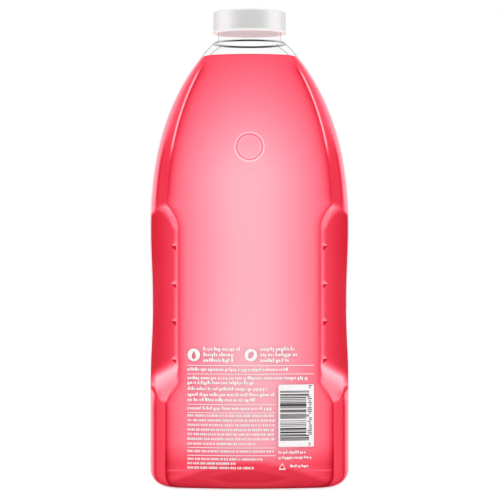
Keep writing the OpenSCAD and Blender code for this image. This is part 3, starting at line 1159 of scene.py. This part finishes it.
def pocketDepthAndPaintedLight(x, z, away, reach):
    # the grip's sunk floor in painted shade, a painted highlight on its shelf under the arch, and a painted
    # glow over its lower slope
    look, grip = cleanerLook, gripShape
    value = mix(look["pocketFrom"], look["pocketTo"], reach**0.9)
    startX, startZ = look["crestStart"]
    crest = startX + look["crestSlope"] * (z - startZ)
    shelf = look["crestHighlightDepth"] + mix(0.9, 0.22, ease(z, 166, 176)) * max(0, x - crest)
    shelf = mix(look["shelfHighlightDepth"], shelf, ease(x, crest - 0.8, crest - 0.2))
    value = mix(value, min(value, shelf), ease(z, *look["shelfRise"]))

    # the scoop below a slanting line, painted paler, and a painted glow along that line
    startX, startZ = look["glowStart"]
    rise = z - startZ + look["glowSlope"] * (x - startX)
    below = look["scoopLightDepth"] + 1.1 * ease(x, 53.5, 58.5) * ease(z, 63, 58)
    value = mix(value, below, ease(rise, 0, -4))
    glow = bell(rise / look["glowAbove" if rise > 0 else "glowBelow"])
    value = mix(value, look["glowDepth"], glow * (1 - 0.5 * ease(reach, 0.75, 1)))

    # each nub has a painted highlight above its middle and painted shade below, and between them the step
    # down has a painted highlight
    near = min(nubHeights(), key=lambda height: abs(z - height))
    rim, nub = grip["rimWidth"], nubShare(z)
    tip = rim + nub * grip["nubReach"]
    wedge = ease(away, tip + 0.5, tip - 0.3) * ease(away, rim - 0.2, rim + 0.4) * smooth(nub * 3)
    value = mix(value, look["nubHighlight"] if z > near else look["nubShade"], wedge)
    step = bell((away - rim) / look["stepWidth"]) * (1 - wedge)
    value = mix(value, min(value, look["stepHighlightDepth"]), step)

    # the scoop's lower end on the outer side: a painted shade line along its outline and a painted highlight
    # within
    outer = ease(x, 53, 55)
    rise = z - grip["bottom"] - 8.5 * clamp((x - 55.5) / 4) ** 1.3
    value = mix(value, look["scoopHighlight"], 0.4 * outer * bell((rise - 2.4) / 1.1))
    return mix(value, look["scoopShade"], outer * ease(rise, 1.2, 0))


def depthAndPaintedLight(x, y, z):
    # how deep the colour is at a point on the cleaner, from 0 to about 5, with painted light and shade in it
    look, shape, grip = cleanerLook, bottleShape, gripShape
    x = abs(x)
    outline = outlineAt(z)
    crease = outline * shape["panelWidth"] / (2 * shape["halfWidth"])
    edge = mix(crease, grip["edgeX"], edgeShare(z))
    away = x - edge
    value = panelDepthAndPaintedLight(min(x, edge), z)

    # a painted shade line on the panel beside the crease or the grip's edge, and a painted highlight along
    # the crease
    lower, upper = ease(z, *look["lineLower"]), ease(z, *look["lineUpper"])
    foot, middle, top = look["shadeLineDepth"]
    strength = mix(mix(middle, top, upper), foot, lower) * ease(z, *look["lineTop"])
    value += strength * math.exp(min(0, away) / mix(1.4, 2.2, upper)) * ease(away, 0.5, -0.9)
    past = ease(away, -0.3, 0.2)
    value = mix(value, sideDepthAndPaintedLight(clamp((x - crease) / (outline - crease)), z), past)
    shine = ease(z, *look["shineRise"]) * ease(z, *look["shineTop"])
    value = mix(value, look["paintedShineDepth"], shine * bell(away / 0.7))

    # within the grip's own outline, its sunk floor takes over
    floor = max(1.0, outline - grip["waist"] - edge - grip["rimWidth"])
    reach = clamp((away - grip["rimWidth"]) / floor)
    low = grip["bottom"] + grip["sideRise"] * reach * reach
    high = grip["top"] - grip["sideDip"] * reach * reach
    inside = ease(z, low, low + 1.5) * ease(z, high, high - 1.2) * past
    return mix(value, pocketDepthAndPaintedLight(x, z, away, reach), inside)


def markDepthAndPaintedLight(obj):
    # each point keeps its depth looked through together with its painted light and shade
    depth = obj.data.attributes.new("depth", "FLOAT", "POINT")
    for point, value in zip(obj.data.vertices, depth.data):
        value.value = depthAndPaintedLight(*(point.co / mm)) / cleanerLook["deepest"]


def ringShade(tree):
    # painted light and shade for the raised ring, which bends the light behind it: two pale rings with a dark
    # one between
    look = cleanerLook
    place = objectPlace(tree)
    centre = (0, 0, -ringShape["z"] * mm)
    flat = addNode(tree, "Mapping", {"Vector": place, "Location": centre, "Scale": (1, 0, 1)}).outputs[0]
    away = addNode(tree, "VectorMath", {"Vector": flat}, operation="LENGTH").outputs["Value"]
    y = addNode(tree, "SeparateXYZ", {"Vector": place}).outputs["Y"]
    front = sumOf(tree, y, 0, "LESS_THAN")
    total = 0
    for radius, width, gain in look["ringBands"]:
        off = sumOf(tree, sumOf(tree, away, radius * mm, "SUBTRACT"), 0, "ABSOLUTE")
        fade = {"Value": off, "From Max": width * mm, "To Min": gain / look["deepest"], "To Max": 0}
        band = addNode(tree, "MapRange", fade, interpolation_type="SMOOTHSTEP").outputs[0]
        total = sumOf(tree, band, total)
    return sumOf(tree, total, front, "MULTIPLY")


def pinkCleaner():
    look = cleanerLook
    material, tree = startMaterial("pinkCleaner")
    # the depth value carries painted light and shade as well as how much is looked through
    depth = addNode(tree, "Attribute", attribute_name="depth").outputs["Fac"]
    depth = sumOf(tree, depth, drift(tree, noiseOn(tree, 14.0, 1.0), look["cloud"]))
    stops = []
    for i in range(look["stops"]):
        place = i / (look["stops"] - 1)
        fades = [math.exp(-rate * place * look["deepest"]) for rate in look["fade"]]
        stops.append((place, [min(1, first * fade) for first, fade in zip(look["first"], fades)]))
    inputs = {"Base Color": ramp(tree, sumOf(tree, depth, ringShade(tree)), stops), "IOR": 1.33}
    inputs.update({"Roughness": look["roughness"], "Specular IOR Level": look["specular"]})
    return solidMaterial(material, tree, inputs)


# The cap's plastic is white and satin, with a faint grain from the mould and a painted sheen and shade: a
# tone for each slant that it is seen at. Its bead is painted lighter as a highlight, and its inside has a
# painted glow for the light that its thin wall lets through
capLook = {
    "paintedSheen": [(0, 0.62), (0.06, 0.66), (0.2, 0.84), (0.36, 0.86), (0.6, 0.74), (1, 0.8)],
    "inside": [(0, 0.7), (1, 0.7)],
    "bead": [(0, 0.9), (1, 0.9)],
    "patches": 0.03,
    "roughness": 0.3,
    "glow": 0.34,
    "glowColor": (0.9, 0.86, 0.87, 1),
}


def capPlastic(name, glow, tones):
    look = capLook
    material, tree = startMaterial(name)
    slant = sumOf(tree, facing(tree), drift(tree, noiseOn(tree, 60.0, 3.0), look["patches"]))
    inputs = {
        "Base Color": ramp(tree, slant, [(place, (tone,) * 3) for place, tone in tones]),
        "Roughness": look["roughness"],
        "Normal": bumpOf(tree, noiseOn(tree, 1800.0), 0.12, 0.00015),
        "Subsurface Weight": 0.15,
        "Subsurface Scale": 0.002,
        # a painted glow where one is given, for the light that a thin wall lets through
        "Emission Color": look["glowColor"],
        "Emission Strength": glow,
    }
    return solidMaterial(material, tree, inputs)


def linerFoam():
    material, tree = startMaterial("linerFoam")
    cells = addNode(tree, "TexVoronoi", {"Vector": objectPlace(tree), "Scale": 2200.0}).outputs["Distance"]
    color = ramp(tree, cells, [(0.0, (0.78, 0.78, 0.76)), (0.6, (0.9, 0.9, 0.88))])
    bump = bumpOf(tree, cells, 0.4, 0.0002)
    return solidMaterial(material, tree, {"Base Color": color, "Roughness": 0.8, "Normal": bump})


# Each ink's colour where it lies thin, and where it is full
inkLook = {
    "white": ((0.93, 0.91, 0.92), (0.98, 0.97, 0.975)),
    "dark": ((0.03, 0.028, 0.035), (0.012, 0.011, 0.014)),
}


def ink(name, thin, full):
    # screen-printed ink: a little uneven, with a low shine
    material, tree = startMaterial(name)
    patch = noiseOn(tree, 900.0, 3.0)
    color = ramp(tree, patch, [(0.3, thin), (0.55, full)])
    bump = bumpOf(tree, patch, 0.15, 0.00005)
    return solidMaterial(material, tree, {"Base Color": color, "Roughness": 0.42, "Normal": bump})


def dress(obj, material, body, node):
    obj.data.materials.clear()
    obj.data.materials.append(material)
    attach(obj, body)
    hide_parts(node)


def dressBottle(obj):
    # the body, the wetted inner skin, the neck, and the ring of thick plastic under its ledge with its
    # painted shade
    look, foot = clearLook, bottleShape["neckFootZ"]
    dress(obj, clearPlastic("clearBody", look["body"], look["shine"]), "bottle", "bottle")
    obj.data.materials.append(wettedInside())
    obj.data.materials.append(clearPlastic("clearNeck", look["neck"], look["neckShine"]))
    obj.data.materials.append(clearPlastic("ledgePaintedShade", look["ledge"], 0))
    for face in obj.data.polygons:
        x, y, z = face.center / mm
        inward = face.normal.x * x + face.normal.y * y < 0
        if inward:
            face.material_index = 1 if z < cleanerHigh.z or z > foot - 0.5 else 2
        elif foot - look["ledgeFrom"] < z < foot - look["ledgeTo"]:
            face.material_index = 3
        else:
            face.material_index = 2 if z > cleanerHigh.z else 0


def dressCap(obj):
    # the outside with its painted sheen, the underside of the top with the thread's wall with its painted
    # glow, and the foot with its bead painted lighter
    look, shape = capLook, capShape
    dress(obj, capPlastic("capPlastic", 0, look["paintedSheen"]), "cap", "cap")
    obj.data.materials.append(capPlastic("capInsidePaintedGlow", look["glow"], look["inside"]))
    obj.data.materials.append(capPlastic("capBeadHighlight", 0, look["bead"]))
    for face in obj.data.polygons:
        x, y, z = face.center / mm
        if math.hypot(x, y) < shape["radius"] - 0.5:
            face.material_index = int(z < capHigh.z - 1)
        else:
            face.material_index = 2 * int(z < capLow.z + shape["beadHeight"] - 0.1)


# Studio: a pale floor, a white surround, two tall soft lamps at the sides and one overhead
studio = {
    "surround": 0.87,
    "shine": 0.4,
    "sideLamp": (400, 1000),
    "sidePlace": (1100, -300, 420),
    "sidePower": 2.8,
    "topLamp": (900, 700),
    "topPlace": (0, -500, 1300),
    "topPower": 1.2,
    "aim": (0, 0, 150),
    "floorTone": 0.93,
    "floorGlow": 1.26,
    "floorShare": 0.7,
}


def softLamp(name, size, place, power):
    away = [(aim - start) * mm for aim, start in zip(studio["aim"], place)]
    flat = math.hypot(away[0], away[1])
    turn = (math.atan2(flat, -away[2]), 0, math.atan2(away[1], away[0]) - math.pi / 2)
    bpy.ops.object.light_add(type="AREA", location=[value * mm for value in place], rotation=turn)
    lamp = named(name)
    lamp.data.shape = "RECTANGLE"
    lamp.data.size = size[0] * mm
    lamp.data.size_y = size[1] * mm
    lamp.data.energy = power
    lamp.visible_glossy = False  # the clear walls mirror only the surround


def makeWorld():
    world = bpy.data.worlds.new("studio")
    bpy.context.scene.world = world
    world.use_nodes = True
    tree = world.node_tree
    tree.nodes.clear()
    rays = addNode(tree, "LightPath").outputs

    # white where it is seen, and dimmer where it lights or is mirrored
    strengths = (1.0, studio["shine"], studio["surround"])
    inputs = [{"Color": (1, 1, 1, 1), "Strength": strength} for strength in strengths]
    white, shine, fill = [addNode(tree, "Background", each).outputs[0] for each in inputs]
    seen = sumOf(tree, rays["Is Camera Ray"], rays["Is Transmission Ray"], "MAXIMUM")
    lit = blend(tree, rays["Is Glossy Ray"], fill, shine)
    addNode(tree, "OutputWorld", {"Surface": blend(tree, seen, lit, white)})


def makeFloor():
    restart()
    bpy.ops.mesh.primitive_plane_add(size=8, location=(0, 0, 0))
    floor = settle(named("paleFloor"))
    material, tree = startMaterial("paleFloor")
    paper = addNode(tree, "BsdfDiffuse", {"Color": (*[studio["floorTone"]] * 3, 1)}).outputs[0]
    glow = addNode(tree, "Emission", {"Color": (1, 1, 1, 1), "Strength": studio["floorGlow"]}).outputs[0]
    seen = addNode(tree, "LightPath").outputs["Is Camera Ray"]
    share = sumOf(tree, seen, studio["floorShare"], "MULTIPLY")
    endMaterial(tree, blend(tree, share, paper, glow))
    floor.data.materials.append(material)


makeCamera()
makeWorld()
makeFloor()
sideX, sideY, sideZ = studio["sidePlace"]
softLamp("leftLamp", studio["sideLamp"], (-sideX, sideY, sideZ), studio["sidePower"])
softLamp("rightLamp", studio["sideLamp"], (sideX, sideY, sideZ), studio["sidePower"])
softLamp("topLamp", studio["topLamp"], studio["topPlace"], studio["topPower"])
print("studio ready")

bottle = makeBottle()
dressBottle(bottle)
print("bottle done,", len(bottle.data.polygons), "faces")

cleaner = makeCleaner()
markDepthAndPaintedLight(cleaner)
dress(cleaner, pinkCleaner(), "bottle", "cleaner")
print("cleaner done,", len(cleaner.data.polygons), "faces")

cap = makeCap()
dressCap(cap)
liner = makeLiner()
dress(liner, linerFoam(), "liner", "cap_liner")
print("cap and liner done,", len(cap.data.polygons) + len(liner.data.polygons), "faces")

whiteInk = makeWhitePrint()
dress(whiteInk, ink("whiteInk", *inkLook["white"]), "bottle", "white_print")
darkInk = makeBarPrint()
dress(darkInk, ink("darkInk", *inkLook["dark"]), "bottle", "bar_print")
print("print done,", len(whiteInk.data.polygons) + len(darkInk.data.polygons), "faces")
